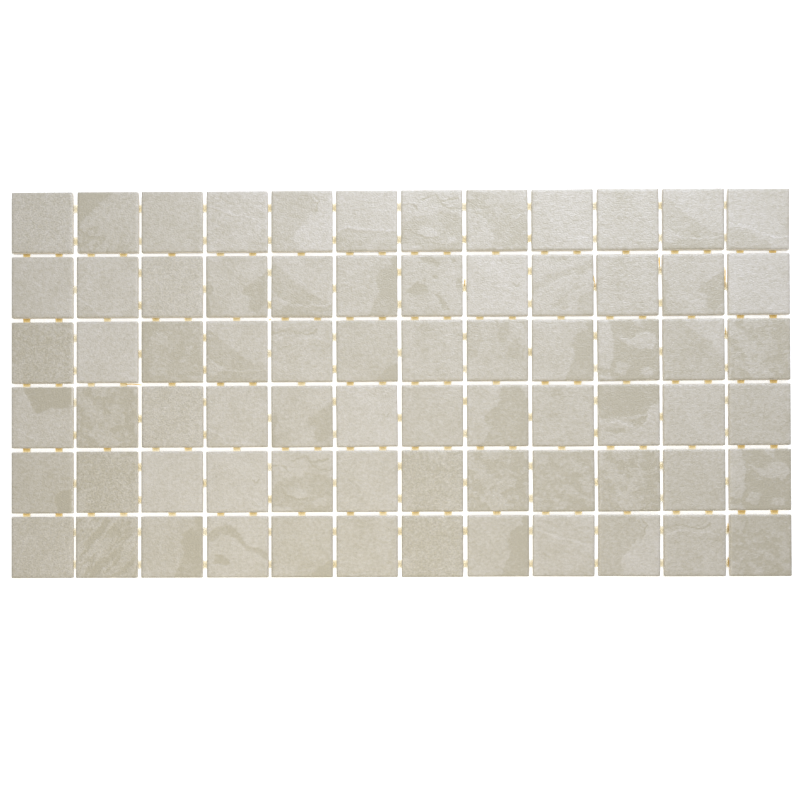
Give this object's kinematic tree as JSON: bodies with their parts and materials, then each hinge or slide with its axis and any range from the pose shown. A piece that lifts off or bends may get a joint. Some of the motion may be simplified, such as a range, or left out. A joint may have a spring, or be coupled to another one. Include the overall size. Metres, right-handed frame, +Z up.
{
  "type": "mosaic tile sheet",
  "caption": "Flat sheet of small square stone-look porcelain tiles in a regular grid, held on their pitch by amber resin dots under the joints, ready to bed in mortar and grout.",
  "frame": {"origin": "middle of the sheet, on the level surface that the undersides of the resin dots rest on", "axes": "+X along the rows of twelve tiles, +Y across them towards the first row, +Z up out of the tile faces"},
  "size_m": [0.6066, 0.3018, 0.0072],
  "materials": {
    "tile": "matte, fine cleft relief",
    "resin": "glossy, translucent amber"
  },
  "bodies": {
    "root": {"tile_row_1": "tile", "tile_row_2": "tile", "tile_row_3": "tile", "tile_row_4": "tile", "tile_row_5": "tile", "tile_row_6": "tile", "resin_dots_in_row_1": "resin", "resin_dots_in_row_2": "resin", "resin_dots_in_row_3": "resin", "resin_dots_in_row_4": "resin", "resin_dots_in_row_5": "resin", "resin_dots_in_row_6": "resin", "resin_dots_under_row_1": "resin", "resin_dots_under_row_2": "resin", "resin_dots_under_row_3": "resin", "resin_dots_under_row_4": "resin", "resin_dots_under_row_5": "resin"}
  },
  "joints": []
}
